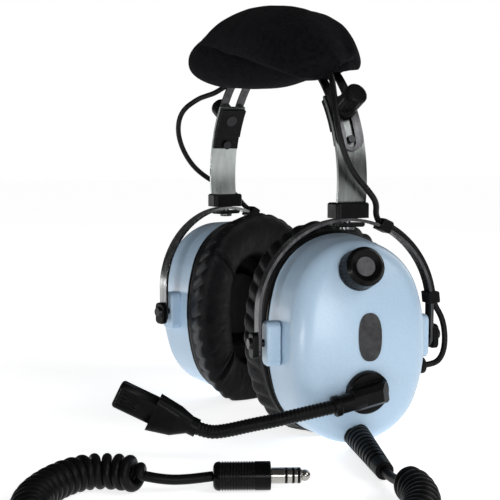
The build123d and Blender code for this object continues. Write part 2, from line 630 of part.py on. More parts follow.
def lead_on_yoke(radius):
    """The bridge lead's stretch along the yoke's outer face, in the cup's frame."""
    track = YOKE_R + YOKE_T / 2 + LEAD_R + 0.05
    low, high = radians(CLIP_ANGLES[0] - CLIP_REACH), radians(CLIP_ANGLES[1] + CLIP_REACH)
    mid = (low + high) / 2
    points = [(0, track * cos(a), YOKE_SPRING_Z + track * sin(a)) for a in (low, mid, high)]
    path = ThreePointArc(*points)
    section = Plane(origin=points[0], z_dir=path % 0) * Circle(radius)
    return sweep(section, path=path)


def yoke_lead_end(which):
    """Where the stretch on the yoke begins or ends, in the cup's frame."""
    track = YOKE_R + YOKE_T / 2 + LEAD_R + 0.05
    a = radians(CLIP_ANGLES[0] - CLIP_REACH if which == 0 else CLIP_ANGLES[1] + CLIP_REACH)
    return (0.0, track * cos(a), YOKE_SPRING_Z + track * sin(a))


def cup_to_world(point):
    """A point of the left cup's frame in the headset's frame."""
    a = radians(TOE_IN)
    x, y, z = point
    return (CUP_X + x * cos(a) + y * sin(a), -x * sin(a) + y * cos(a), CUP_Z + z)


def make_bridge_lead():
    low, high = BRIDGE_ENDS
    path = ThreePointArc(*[arch_point(BRIDGE_R, a, BRIDGE_Y) for a in (low, (low + high) / 2, high)])
    middle = sweep(Plane(origin=path @ 0, z_dir=path % 0) * Circle(LEAD_R), path=path)
    loop = soft_tube(LOOP_ROUTE + [yoke_lead_end(0)], LEAD_R, "lead_lower")
    lower = loop + lead_on_yoke(LEAD_R)
    x, y, z = cup_to_world(yoke_lead_end(1))
    left = soft_tube([(x, y, z)] + LEFT_UPPER_ROUTE + [tuple(path @ 0)], LEAD_R, "left_lead_upper")
    right = soft_tube([(-x, y, z)] + RIGHT_UPPER_ROUTE + [tuple(path @ 1)], LEAD_R, "right_lead_upper")
    joint = to_left(lead_on_yoke(LEAD_R + 0.1))
    left -= joint
    right -= mirror(joint, about=Plane.YZ)
    return middle, lower, left, right


# ---------------------------------------------------------------- microphone
def mic_plane():
    start, end = Vector(GOOSE_TIP_ROUTE[-1]), Vector(MIC_END)
    return Plane(origin=start, x_dir=(end - start).cross(Vector(0, 0, 1)), z_dir=end - start)


def make_mic():
    """Rear housing, slotted front and the capsule inside; Z runs along the microphone."""
    plane = mic_plane()
    align = (Align.CENTER, Align.CENTER, Align.MIN)
    sections = [(0.0, 9.0, 9.0, 4.0), (7.0, 12.0, 15.0, 4.5), (19.0, 12.0, 19.0, 4.0)]
    faces = [Pos(0, 0.2 * (h - 9.0), z) * RectangleRounded(w, h, r) for z, w, h, r in sections]
    rear = loft(faces, ruled=True)
    rear += Pos(0, 0, -4.0) * Cylinder(4.6, 4.2, align=align)
    rear -= Pos(0, 0, -5) * Cylinder(GOOSE_R + 0.02, 5.6, align=align)
    rear -= Pos(0, 1.2, 14.0) * Box(9.6, 13.6, 6.0, align=align)
    front = Pos(0, 1.2, 14.1) * Box(9.4, 13.4, 25.0, align=align)
    front = fillet(front.edges().filter_by(Axis.Z), 2.6)
    front = fillet(front.faces().sort_by(Axis.Z)[-1].edges(), 1.8)
    pocket = Pos(0, 1.2, 26.0) * Box(6.2, 10.2, 10.4, align=align)
    front -= pocket
    for i in range(3):
        front -= Pos(0, 1.2 - 3.2 + 3.2 * i, 34.0) * Box(5.0, 1.3, 8.0, align=align)
    capsule = Pos(0, 1.2, 26.4) * Cylinder(3.0, 6.0, align=align)
    return plane * rear, plane * front, plane * capsule


# ---------------------------------------------------------------- the assembly
def build():
    keep("top_strap", make_strap())
    keep("head_pad_outer", make_pad_outer())
    keep("head_pad_inner", make_pad_inner())

    arm = make_arm()
    keep_pair("arm", arm)
    keep_pair("nut_plate", make_nut_plate())
    keep_pair("arm_screws", make_arm_screws())
    keep_pair("clamp_knob", make_clamp_knob())
    keep_pair("swivel_block", make_swivel_block(arm))
    keep_pair("swivel_screw", make_swivel_screw())

    yoke = make_yoke()
    keep_pair("yoke", to_left(yoke))
    keep_pair("yoke_plate", to_left(make_yoke_plate()))
    keep_pair("pivot_clips", to_left(make_pivot_clips()))
    keep_pair("pivot_pins", to_left(make_pivot_pins()))
    keep_pair("lead_clips", to_left(make_lead_clips(yoke)))

    shell = make_shell()
    keep("left_cup_shell", make_left_shell(shell))
    keep("right_cup_shell", to_right(shell))
    keep_pair("seal_plate", to_left(make_seal_plate()))
    keep_pair("ear_seal", to_left(make_ear_seal()))
    keep_pair("speaker", to_left(make_speaker()))
    keep_pair("damping_foam", to_left(make_foam()))
    keep_pair("grommet", to_left(make_grommet()))

    keep("volume_knob", to_left(make_volume_knob()))
    keep("volume_knob_cap", to_left(make_volume_cap()))
    keep("volume_pot", to_left(make_volume_pot()))

    frame = boom_frame()
    keep("boom_hub", to_left(frame * make_boom_hub()))
    keep("boom_collar", to_left(frame * make_boom_collar()))
    ends = []
    for reach in (ARM_REACH + 0.05, ARM_REACH + GOOSE_LEAD_IN):
        ends.append(tuple(to_left(frame * Pos(reach, 0, ARM_AXIS_H) * Vertex(0, 0, 0)).center()))
    print("gooseneck leaves the collar at", [round(v, 2) for v in ends[0]])
    base, knuckle, tip = make_gooseneck(*ends)
    keep("gooseneck_base", base)
    keep("gooseneck_knuckle", knuckle)
    keep("gooseneck_tip", tip)
    rear, front, capsule = make_mic()
    keep("mic_rear", rear)
    keep("mic_front", front)
    keep("mic_capsule", capsule)

    keep("strain_relief", make_strain_relief())
    keep("cord_lead", soft_tube(LEAD_ROUTE, CORD_R, "cord_lead"))
    keep("cord_coil", soft_tube(COIL_ROUTE, COIL_R, "cord_coil"))
    keep("cord_tail", soft_tube(TAIL_ROUTE, CORD_R, "cord_tail"))
    barrel, finger, rings = make_plug()
    keep("plug_barrel", barrel)
    keep("plug_contacts", finger)
    keep("plug_insulators", rings)

    middle, lower, left, right = make_bridge_lead()
    keep("bridge_lead_middle", middle)
    keep_pair("lead_lower", to_left(lower))
    keep("left_lead_upper", left)
    keep("right_lead_upper", right)


build()
os.makedirs("parts", exist_ok=True)
for node, solid in made.items():
    export_step(solid, f"parts/{node}.step")
print(len(made), "nodes")
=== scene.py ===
"""Looks for the aviation headset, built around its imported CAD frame.

Metres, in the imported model's frame: +X is the wearer's left, -Y the way the wearer faces, +Z up.
"""

import json
import math

import bmesh
import bpy
from mathutils import Matrix, Vector, noise


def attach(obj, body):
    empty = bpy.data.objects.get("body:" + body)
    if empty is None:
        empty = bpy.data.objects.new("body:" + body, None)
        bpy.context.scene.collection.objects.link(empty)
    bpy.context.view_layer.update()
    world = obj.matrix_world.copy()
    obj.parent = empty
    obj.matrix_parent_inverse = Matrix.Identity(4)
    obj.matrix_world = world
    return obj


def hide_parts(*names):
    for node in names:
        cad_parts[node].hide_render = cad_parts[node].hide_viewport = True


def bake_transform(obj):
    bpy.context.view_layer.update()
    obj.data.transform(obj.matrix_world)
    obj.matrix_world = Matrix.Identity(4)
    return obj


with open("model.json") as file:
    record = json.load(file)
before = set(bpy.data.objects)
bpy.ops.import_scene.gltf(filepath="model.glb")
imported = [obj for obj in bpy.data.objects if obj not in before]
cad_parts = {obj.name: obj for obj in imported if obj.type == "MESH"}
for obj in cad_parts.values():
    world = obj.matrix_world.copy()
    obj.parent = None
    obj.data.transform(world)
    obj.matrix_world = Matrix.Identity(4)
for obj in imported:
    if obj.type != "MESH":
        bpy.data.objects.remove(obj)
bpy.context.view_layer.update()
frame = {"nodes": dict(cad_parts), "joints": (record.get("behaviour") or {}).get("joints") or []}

# ---------------------------------------------------------------- places taken from the frame
JOINTS = {joint["name"]: joint for joint in frame["joints"]}


def place(name):
    """Where a joint is."""
    return Vector(JOINTS[name]["pos_m"])


ARCH = place("left_height")                      # the axis of the headband's arch
MIDDLE = Vector((ARCH.x, ARCH.y, 0.0))           # the floor under the arch's axis
SIDES = {"left": 1, "right": -1}


def head(x, y, z):
    """A point given from the floor under the arch's axis."""
    return MIDDLE + Vector((x, y, z))


def cup_frame(side):
    """A cup's own frame: X outward, Y to the rear, Z up, at its tilt axis."""
    tilt = JOINTS[side + "_tilt"]
    rear = Vector(tilt["axis"]).normalized()
    outward = Vector((rear.y, -rear.x, 0.0)) * SIDES[side]
    turn = Matrix((outward, rear, Vector((0, 0, 1)))).transposed().to_4x4()
    return Matrix.Translation(Vector(tilt["pos_m"])) @ turn


# ---------------------------------------------------------------- camera
CAMERA_AT = (0.5039, -0.2876, 0.1493)
CAMERA_TURN = 62.0                               # degrees round from the front
CAMERA_DIP = 5.26
CAMERA_LENS = 72.0


def make_camera():
    data = bpy.data.cameras.new("camera")
    data.lens = CAMERA_LENS
    data.sensor_width = 36.0
    data.clip_start, data.clip_end = 0.01, 50.0
    camera = bpy.data.objects.new("camera", data)
    camera.location = head(*CAMERA_AT)
    camera.rotation_euler = (math.radians(90 - CAMERA_DIP), 0.0, math.radians(CAMERA_TURN))
    bpy.context.scene.collection.objects.link(camera)
    bpy.context.scene.camera = camera


make_camera()


# ---------------------------------------------------------------- lines and tubes
def spline_object(name, points, steps):
    """One open NURBS spline with the given control points."""
    data = bpy.data.curves.new(name, "CURVE")
    data.dimensions = "3D"
    data.resolution_u = steps
    spline = data.splines.new("NURBS")
    spline.points.add(len(points) - 1)
    for control, point in zip(spline.points, points):
        control.co = (*point, 1.0)
    spline.order_u = 3
    spline.use_endpoint_u = True
    obj = bpy.data.objects.new(name, data)
    bpy.context.scene.collection.objects.link(obj)
    return obj


def line_through(route, steps=24):
    """Closely spaced points along the smooth line that a route controls."""
    guide = spline_object("guide", route, steps)
    mesh = bpy.data.meshes.new_from_object(guide)
    points = [v.co.copy() for v in mesh.vertices]
    bpy.data.objects.remove(guide)
    bpy.data.meshes.remove(mesh)
    return points


def lengths_along(points):
    """Distance from the start at each point."""
    total, out = 0.0, [0.0]
    for a, b in zip(points, points[1:]):
        total += (b - a).length
        out.append(total)
    return out


class Line:
    """A smooth line with a steady pair of normals, read by distance from its start."""

    def __init__(self, route, steps=24):
        self.points = line_through(route, steps)
        self.at = lengths_along(self.points)
        self.length = self.at[-1]
        self.tangents = []
        last = len(self.points) - 1
        for i in range(last + 1):
            step = self.points[min(i + 1, last)] - self.points[max(i - 1, 0)]
            self.tangents.append(step.normalized())
        first = self.tangents[0]
        side = first.cross(Vector((0, 0, 1)))
        if side.length < 0.1:
            side = first.cross(Vector((1, 0, 0)))
        side.normalize()
        self.sides = [side]
        for before, here in zip(self.tangents, self.tangents[1:]):
            side = before.rotation_difference(here) @ side
            side = (side - here * side.dot(here)).normalized()
            self.sides.append(side)

    def read(self, distance):
        """(point, tangent, side, up) at a distance."""
        distance = min(max(distance, 0.0), self.length)
        low, high = 0, len(self.at) - 1
        while high - low > 1:
            middle = (low + high) // 2
            if self.at[middle] > distance:
                high = middle
            else:
                low = middle
        span = self.at[high] - self.at[low]
        share = (distance - self.at[low]) / span if span > 0 else 0.0
        point = self.points[low].lerp(self.points[high], share)
        tangent = self.tangents[low].lerp(self.tangents[high], share).normalized()
        side = self.sides[low].lerp(self.sides[high], share)
        side = (side - tangent * side.dot(tangent)).normalized()
        return point, tangent, side, tangent.cross(side)


def smooth_step(value):
    value = min(max(value, 0.0), 1.0)
    return value * value * (3 - 2 * value)


def new_mesh(name, points, faces):
    mesh = bpy.data.meshes.new(name)
    mesh.from_pydata([tuple(p) for p in points], [], faces)
    mesh.validate()
    obj = bpy.data.objects.new(name, mesh)
    bpy.context.scene.collection.objects.link(obj)
    outward_faces(obj)
    for polygon in mesh.polygons:
        polygon.use_smooth = True
    return obj


def outward_faces(obj):
    """Turns every face of a closed mesh outward."""
    bm = bmesh.new()
    bm.from_mesh(obj.data)
    bmesh.ops.recalc_face_normals(bm, faces=bm.faces)
    bm.to_mesh(obj.data)
    bm.free()


def ring_faces(rings, sides, closed_along=False, caps=True):
    """Faces joining a run of rings of equal length."""
    faces = []
    last = rings if closed_along else rings - 1
    for i in range(last):
        j = (i + 1) % rings
        for k in range(sides):
            m = (k + 1) % sides
            faces.append((i * sides + k, i * sides + m, j * sides + m, j * sides + k))
    if caps and not closed_along:
        faces.append(tuple(reversed(range(sides))))
        faces.append(tuple((rings - 1) * sides + k for k in range(sides)))
    return faces


def tube(name, line, radius_at, step, sides=20, start=0.0, end=None):
    """A tube along a line, whose radius is a function of distance."""
    end = line.length if end is None else end
    count = max(2, round((end - start) / step) + 1)
    points = []
    for i in range(count):
        distance = start + (end - start) * i / (count - 1)
        centre, _, side, up = line.read(distance)
        radius = radius_at(distance)
        for k in range(sides):
            angle = 2 * math.pi * k / sides
            points.append(centre + (side * math.cos(angle) + up * math.sin(angle)) * radius)
    return new_mesh(name, points, ring_faces(count, sides))


# ---------------------------------------------------------------- the curly cord
CORD_R = 0.0023
COIL_PATH_R = 0.0060                             # the helix's centreline
COIL_PITCH = 0.0053
TURN_POINTS = 14
LEAD_ROUTE = [(0.135, -0.021, 0.0052), (0.1475, -0.0246, 0.0044)]
COIL_ROUTE = [
    (0.160, -0.026, 0.0085), (0.181, -0.034, 0.0085), (0.202, -0.054, 0.0085), (0.213, -0.085, 0.0085),
    (0.212, -0.119, 0.0085), (0.198, -0.151, 0.0085), (0.172, -0.176, 0.0085), (0.140, -0.188, 0.0085),
    (0.110, -0.182, 0.0085), (0.089, -0.165, 0.0085), (0.080, -0.147, 0.0085), (0.087, -0.1335, 0.0085),
    (0.098, -0.126, 0.0085)]
TAIL_ROUTE = [(0.102, -0.1165, 0.0060), (0.105, -0.106, 0.0056), (0.1084, -0.0962, 0.0066)]


def nearest_distance(line, point):
    """How far along the line it passes nearest to a point."""
    index = min(range(len(line.points)), key=lambda i: (line.points[i] - point).length)
    return line.at[index]


def make_cord():
    route = [head(*p) for p in LEAD_ROUTE + COIL_ROUTE + TAIL_ROUTE]
    line = Line(route)
    start = nearest_distance(line, head(*COIL_ROUTE[0]))
    end = nearest_distance(line, head(*COIL_ROUTE[-1]))
    turns = (end - start) / COIL_PITCH
    points = [line.read(start * i / 4)[0] for i in range(4)]
    count = round(turns * TURN_POINTS)
    for i in range(count + 1):
        turn = i / TURN_POINTS
        centre, _, side, up = line.read(start + (end - start) * i / count)
        reach = COIL_PATH_R * smooth_step(turn / 0.8) * smooth_step((turns - turn) / 0.8)
        angle = 2 * math.pi * turn
        points.append(centre + (side * math.cos(angle) + up * math.sin(angle)) * reach)
    rest = line.length - end
    points += [line.read(end + rest * i / 5)[0] for i in range(1, 6)]
    wound = Line(points, steps=4)
    cord = tube("curly_cord", wound, lambda distance: CORD_R, 0.0008, sides=16)
    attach(cord, "left_cup")
    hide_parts("cord_lead", "cord_coil", "cord_tail")
    return cord


cord = make_cord()


# ---------------------------------------------------------------- materials
NOISE_ROUGHNESS = 0.55
NOISE_LOW, NOISE_HIGH = 0.3, 0.7                 # the part of a noise's range that is used
WEAR_NOISE = 900.0
WEAR_SPREAD = 0.12
BEVEL_SAMPLES = 4


def shader(name, colour, roughness, metallic=0.0, **sockets):
    """A Principled material; uniform values sit on the shader's own sockets."""
    made = bpy.data.materials.new(name)
    made.use_nodes = True
    bsdf = made.node_tree.nodes["Principled BSDF"]
    bsdf.inputs["Base Color"].default_value = (*colour, 1.0)
    bsdf.inputs["Roughness"].default_value = roughness
    bsdf.inputs["Metallic"].default_value = metallic
    for key, value in sockets.items():
        bsdf.inputs[key.replace("_", " ")].default_value = value
    return made


def node(made, kind, **inputs):
    """Adds a node and sets its inputs by name."""
    new = made.node_tree.nodes.new(kind)
    for key, value in inputs.items():
        new.inputs[key.replace("_", " ")].default_value = value
    return new


def join(made, output, target):
    made.node_tree.links.new(output, target)


def coordinates(made, stretch=(1, 1, 1)):
    """Positions on the object in metres, stretched per axis."""
    source = node(made, "ShaderNodeTexCoord")
    mapping = node(made, "ShaderNodeMapping")
    mapping.inputs["Scale"].default_value = stretch
    join(made, source.outputs["Object"], mapping.inputs["Vector"])
    return mapping.outputs["Vector"]


def noise_value(made, scale, detail=3.0, stretch=(1, 1, 1)):
    texture = node(made, "ShaderNodeTexNoise", Scale=scale, Detail=detail, Roughness=NOISE_ROUGHNESS)
    join(made, coordinates(made, stretch), texture.inputs["Vector"])
    return texture.outputs["Fac"]


def cell_value(made, scale):
    texture = node(made, "ShaderNodeTexVoronoi", Scale=scale)
    join(made, coordinates(made), texture.inputs["Vector"])
    return texture.outputs["Distance"]


def ramp(made, value, stops):
    """A colour ramp with (place, colour) stops."""
    new = node(made, "ShaderNodeValToRGB")
    elements = new.color_ramp.elements
    elements[0].position, elements[0].color = stops[0][0], (*stops[0][1], 1.0)
    elements[1].position, elements[1].color = stops[-1][0], (*stops[-1][1], 1.0)
    for position, colour in stops[1:-1]:
        elements.new(position).color = (*colour, 1.0)
    join(made, value, new.inputs["Fac"])
    return new.outputs["Color"]


def mottle(made, dark, light, scale, detail=4.0):
    """Base colour that varies between two colours."""
    colour = ramp(made, noise_value(made, scale, detail), [(NOISE_LOW, dark), (NOISE_HIGH, light)])
    join(made, colour, made.node_tree.nodes["Principled BSDF"].inputs["Base Color"])


def uneven_gloss(made, low, high, scale, stretch=(1, 1, 1)):
    """Roughness that varies between two values."""
    spread = node(made, "ShaderNodeMapRange")
    spread.inputs["From Min"].default_value = NOISE_LOW
    spread.inputs["From Max"].default_value = NOISE_HIGH
    spread.inputs["To Min"].default_value = low
    spread.inputs["To Max"].default_value = high
    join(made, noise_value(made, scale, 4.0, stretch), spread.inputs["Value"])
    join(made, spread.outputs["Result"], made.node_tree.nodes["Principled BSDF"].inputs["Roughness"])


def relief(made, value, depth):
    """Adds a bump of a real depth on top of any before it."""
    bump = node(made, "ShaderNodeBump", Strength=1.0, Distance=depth)
    join(made, value, bump.inputs["Height"])
    normal = made.node_tree.nodes["Principled BSDF"].inputs["Normal"]
    if normal.links:
        join(made, normal.links[0].from_socket, bump.inputs["Normal"])
    join(made, bump.outputs["Normal"], normal)


def soft_edges(made, radius):
    """Rounds the look of sharp edges by a small radius."""
    bevel = node(made, "ShaderNodeBevel", Radius=radius)
    bevel.samples = BEVEL_SAMPLES
    join(made, bevel.outputs["Normal"], made.node_tree.nodes["Principled BSDF"].inputs["Normal"])
    return bevel.outputs["Normal"]


def edge_wear(made, edge_normal, colour_output, worn):
    """Mixes a worn colour in where the rounded normal leaves the surface's own."""
    geometry = node(made, "ShaderNodeNewGeometry")
    compare = node(made, "ShaderNodeVectorMath")
    compare.operation = "DOT_PRODUCT"
    join(made, edge_normal, compare.inputs[0])
    join(made, geometry.outputs["Normal"], compare.inputs[1])
    patches = node(made, "ShaderNodeMath")
    patches.operation = "MULTIPLY_ADD"
    join(made, noise_value(made, WEAR_NOISE, 3.0), patches.inputs[0])
    patches.inputs[1].default_value = WEAR_SPREAD
    join(made, compare.outputs["Value"], patches.inputs[2])
    mask = ramp(made, patches.outputs["Value"], [(0.86, (1, 1, 1)), (0.99, (0, 0, 0))])
    mix = node(made, "ShaderNodeMix")
    mix.data_type = "RGBA"
    join(made, mask, mix.inputs["Factor"])
    join(made, colour_output, mix.inputs["A"])
    mix.inputs["B"].default_value = (*worn, 1.0)
    join(made, mix.outputs["Result"], made.node_tree.nodes["Principled BSDF"].inputs["Base Color"])


def paint_blue():
    """Light blue moulding with a fine sparkle in its paint."""
    made = shader("light_blue_paint", (0.42, 0.57, 0.72), 0.36, Coat_Weight=0.35, Coat_Roughness=0.22)
    base = ramp(made, noise_value(made, 2600.0, 2.0), [
        (0.30, (0.37, 0.51, 0.66)), (0.55, (0.42, 0.57, 0.72)), (0.74, (0.50, 0.64, 0.78))])
    join(made, base, made.node_tree.nodes["Principled BSDF"].inputs["Base Color"])
    uneven_gloss(made, 0.34, 0.42, 60.0)
    relief(made, noise_value(made, 1700.0, 2.0), 0.00006)
    relief(made, noise_value(made, 45.0, 2.0), 0.00010)
    return made


def velvet():
    made = shader("black_velvet", (0.004, 0.004, 0.005), 0.95, Sheen_Weight=0.032, Sheen_Roughness=0.40,
                  Specular_IOR_Level=0.02, Sheen_Tint=(0.55, 0.56, 0.60, 1.0))
    lint = ramp(made, cell_value(made, 330.0), [
        (0.0, (0.10, 0.10, 0.11)), (0.05, (0.05, 0.05, 0.055)), (0.075, (0.003, 0.003, 0.0035)),
        (0.6, (0.006, 0.006, 0.007))])
    join(made, lint, made.node_tree.nodes["Principled BSDF"].inputs["Base Color"])
    relief(made, noise_value(made, 3200.0, 2.0), 0.00035)
    relief(made, noise_value(made, 140.0, 4.0), 0.0006)
    return made


def leatherette():
    made = shader("black_leatherette", (0.003, 0.003, 0.004), 0.34, Specular_IOR_Level=0.10)
    mottle(made, (0.002, 0.002, 0.003), (0.008, 0.008, 0.009), 160.0, 5.0)
    uneven_gloss(made, 0.32, 0.48, 120.0)
    relief(made, cell_value(made, 1500.0), 0.00012)
    relief(made, noise_value(made, 420.0, 5.0), 0.00025)
    return made


def strip_steel(name, dark, light, roughness, streak):
    """Satin steel strip with fine lengthwise streaks."""
    made = shader(name, light, roughness, 1.0)
    normal = soft_edges(made, 0.0002)
    colour = ramp(made, noise_value(made, 60.0, 5.0, streak), [(NOISE_LOW, dark), (NOISE_HIGH, light)])
    edge_wear(made, normal, colour, tuple(min(1.0, 1.5 * c) for c in light))
    uneven_gloss(made, roughness - 0.05, roughness + 0.08, 80.0, streak)
    relief(made, noise_value(made, 700.0, 4.0, streak), 0.00002)
    return made


def black_moulding(name, tone, roughness, grain, worn=0.06):
    """Moulded black plastic with a fine texture and slightly lighter edges."""
    made = shader(name, (tone, tone, tone * 1.05), roughness, Specular_IOR_Level=0.09)
    normal = soft_edges(made, 0.00025)
    low = (tone * 0.7, tone * 0.7, tone * 0.75)
    high = (tone * 1.4, tone * 1.4, tone * 1.45)
    colour = ramp(made, noise_value(made, 240.0, 5.0), [(NOISE_LOW, low), (NOISE_HIGH, high)])
    edge_wear(made, normal, colour, (worn, worn, worn))
    uneven_gloss(made, roughness - 0.06, roughness + 0.08, 90.0)
    relief(made, noise_value(made, 2400.0, 2.0), grain)
    return made


def soft_rubber(name, tone, roughness):
    made = shader(name, (tone, tone, tone), roughness, Specular_IOR_Level=0.11)
    mottle(made, (tone * 0.7,) * 3, (tone * 1.5,) * 3, 200.0, 5.0)
    uneven_gloss(made, roughness - 0.07, roughness + 0.1, 70.0)
    relief(made, noise_value(made, 1500.0, 3.0), 0.00005)
    return made


def polished(name, colour, roughness):
    made = shader(name, colour, roughness, 1.0)
    normal = soft_edges(made, 0.00015)
    dull = tuple(c * 0.8 for c in colour)
    shade = ramp(made, noise_value(made, 130.0, 4.0), [(NOISE_LOW, dull), (NOISE_HIGH, colour)])
    edge_wear(made, normal, shade, tuple(min(1.0, 1.15 * c) for c in colour))
    uneven_gloss(made, roughness - 0.04, roughness + 0.07, 180.0)
    relief(made, noise_value(made, 1200.0, 3.0), 0.00001)
    return made


def open_foam():
    made = shader("black_foam", (0.012, 0.012, 0.013), 0.95, Specular_IOR_Level=0.1)
    mottle(made, (0.004, 0.004, 0.005), (0.020, 0.020, 0.021), 900.0, 5.0)
    relief(made, cell_value(made, 700.0), 0.0006)
    return made


ALONG_Z = (6.0, 6.0, 0.35)
paint = paint_blue()
cloth = velvet()
leather = leatherette()
# The far arm's steel: the lighter of two copies of one steel, painted lighter to stand for a bright
# reflection.
arm_steel = strip_steel("arm_steel", (0.36, 0.39, 0.38), (0.46, 0.49, 0.48), 0.30, ALONG_Z)
# The strap's own dark steel, which on the left yoke is also the darker of two copies of the yokes' steel:
# painted shade.
dark_steel = strip_steel("dark_steel", (0.045, 0.045, 0.05), (0.10, 0.10, 0.105), 0.22, ALONG_Z)
black_plate = black_moulding("black_plate", 0.004, 0.28, 0.00002, worn=0.10)
plastic = black_moulding("black_plastic", 0.003, 0.32, 0.00004)
gloss_plastic = black_moulding("gloss_plastic", 0.003, 0.14, 0.00001)
knob_plastic = black_moulding("knob_plastic", 0.003, 0.26, 0.00002)
rubber = soft_rubber("black_rubber", 0.004, 0.38)
lead_jacket = soft_rubber("lead_jacket", 0.007, 0.34)
neck_metal = black_moulding("gooseneck_sleeve", 0.005, 0.30, 0.00002)
screw_steel = polished("screw_steel", (0.12, 0.12, 0.12), 0.22)
black_screw = polished("black_screw", (0.035, 0.035, 0.038), 0.24)
nickel = polished("nickel", (0.45, 0.44, 0.41), 0.15)
cap_grey = black_moulding("cap_grey", 0.085, 0.42, 0.00003, worn=0.16)
badge_grey = black_moulding("badge_grey", 0.045, 0.38, 0.00002, worn=0.12)
foam = open_foam()
speaker_metal = polished("speaker_metal", (0.015, 0.015, 0.016), 0.55)

# The near arm's steel: the darker copy of the same steel, painted darker to stand for shade and dark
# reflections.
near_arm_shaded_steel = strip_steel("near_arm_painted_shade_steel", (0.13, 0.14, 0.135), (0.22, 0.235, 0.23), 0.28, ALONG_Z)
# The far yoke's steel: the lighter copy of the yokes' steel, painted silver to stand for a bright reflection.
far_yoke_painted_lit_steel = strip_steel("far_yoke_painted_lit_steel", (0.16, 0.165, 0.165), (0.34, 0.35, 0.35), 0.24, ALONG_Z)

NODE_LOOKS = [
    (paint, ["left_cup_shell", "right_cup_shell"]),
    # Left yoke darker, right yoke silver: painted shade and painted reflection on one steel.
    (dark_steel, ["top_strap", "left_yoke"]),
    (far_yoke_painted_lit_steel, ["right_yoke"]),
    # Near arm darker, far arm lighter: painted shade and painted reflection on one steel.
    (near_arm_shaded_steel, ["left_arm"]),
    (arm_steel, ["right_arm"]),
    (black_plate, ["left_nut_plate", "right_nut_plate"]),
    (black_screw, ["left_arm_screws", "right_arm_screws", "left_pivot_pins", "right_pivot_pins"]),
    (screw_steel, ["left_swivel_screw", "right_swivel_screw"]),
    (black_plate, ["left_yoke_plate", "right_yoke_plate"]),
    (knob_plastic, ["left_clamp_knob", "right_clamp_knob", "volume_knob"]),
    (plastic, ["left_swivel_block", "right_swivel_block", "left_pivot_clips", "right_pivot_clips",
               "left_lead_clips", "right_lead_clips", "boom_hub", "boom_collar", "mic_rear", "mic_front",
               "plug_insulators"]),
    (gloss_plastic, ["left_seal_plate", "right_seal_plate", "plug_barrel"]),
    (rubber, ["left_grommet", "right_grommet", "strain_relief"]),
    (cap_grey, ["volume_knob_cap"]),
    (speaker_metal, ["left_speaker", "right_speaker", "volume_pot", "mic_capsule"]),
    (nickel, ["plug_contacts"]),
]


def dress(obj, material):
    obj.data.materials.clear()
    obj.data.materials.append(material)


def smooth_by_angle(obj, degrees=32.0):
    """Smooth shading that keeps edges sharper than the angle."""
    mesh = obj.data
    for polygon in mesh.polygons:
        polygon.use_smooth = True
    mesh.set_sharp_from_angle(angle=math.radians(degrees))


for material, names in NODE_LOOKS:
    for name in names:
        dress(frame["nodes"][name], material)
dress(cord, rubber)


# ---------------------------------------------------------------- ear seals
SEAL_BACK = -0.0154                              # in the cup's frame
SEAL_DEPTH = 0.0212
SEAL_OUTER = (0.0398, 0.0542, 0.0370)            # half width, half height, end radius
SEAL_INNER = (0.0190, 0.0335, 0.0184)
PLEAT_PITCH = 0.0080
PLEAT_DEPTH = 0.0026
PLEAT_SLANT = 0.9                                # share of a pitch that a pleat leans over the side
FACE_SEAMS = (0.135, 0.365, 0.635, 0.865)        # round the seal, from the rear, as shares of a turn
REST_Z = 0.0004                                  # the floor flattens a seal that rests on it
REST_SOFT = 0.0009
SEAL_TURNS = 420
SEAL_LENGTH = 0.30                               # round the seal
GATHER_FROM, GATHER_TO = 0.20, 0.93              # the depths that the pleats run between
SEAM_DEPTH, SEAM_HALF_W = 0.0015, 0.0010
WELT_HEIGHT, WELT_AT, WELT_HALF_W = 0.0006, 0.0027, 0.0015
CRUMPLE_DEPTH = 0.00028
# the section: share from the opening (0) to the outer edge (1), depth from the back (0) to the face (1)
SEAL_SECTION = [
    (0.00, 0.00), (0.35, 0.00), (0.70, 0.00), (0.97, 0.00), (1.04, 0.00), (1.075, 0.04), (1.085, 0.10),
    (1.085, 0.16), (1.09, 0.21), (1.11, 0.27), (1.14, 0.35), (1.175, 0.44), (1.21, 0.53), (1.24, 0.62),
    (1.265, 0.70), (1.28, 0.77), (1.28, 0.835), (1.26, 0.89), (1.22, 0.935), (1.165, 0.97), (1.10, 0.995),
    (1.02, 1.015), (0.93, 1.025), (0.84, 1.03), (0.74, 1.03), (0.63, 1.02), (0.51, 1.00), (0.40, 0.97),
    (0.28, 0.93), (0.17, 0.87), (0.08, 0.79), (0.02, 0.68), (-0.005, 0.55), (-0.01, 0.40), (-0.005, 0.22),
    (0.00, 0.10)]


def oval_point(shape, turn):
    """The point of a four-arc oval in a cup's Y-Z plane that lies in a direction from its centre."""
    half_w, half_h, end_r = shape
    end_z = half_h - end_r
    side_r = (end_z ** 2 + half_w ** 2 - end_r ** 2) / (2 * (half_w - end_r))
    side_y = side_r - half_w
    join_z = end_z + end_r * end_z / math.hypot(side_y, end_z)
    angle = 2 * math.pi * turn
    ray = Vector((math.cos(angle), math.sin(angle)))
    for centre, radius in ((Vector((-math.copysign(side_y, ray.x), 0)), side_r),
                           (Vector((0, math.copysign(end_z, ray.y))), end_r)):
        along = ray.dot(centre)
        reach = along + math.sqrt(max(0.0, along ** 2 - centre.length_squared + radius ** 2))
        if abs(ray.y * reach) <= join_z:
            break
    return ray * reach


def pleat_height(along, depth):
    """Raised pleats with narrow folds between them."""
    wander = 0.25 * noise.noise(Vector((along * 60.0, 3.1, 0.0)))
    phase = along / PLEAT_PITCH + PLEAT_SLANT * (depth - 0.5) + wander
    ridge = abs(math.sin(math.pi * phase)) ** 0.55
    size = 0.8 + 0.5 * noise.noise(Vector((along * 90.0, 0.0, 7.0)))
    return (ridge - 0.75) * size


def rested(point):
    """A point of a soft piece, pressed up where it would go under the floor."""
    over = (point.z - REST_Z) / REST_SOFT
    if over < 20:
        point.z = REST_Z + REST_SOFT * math.log(1 + math.exp(over))
    return point


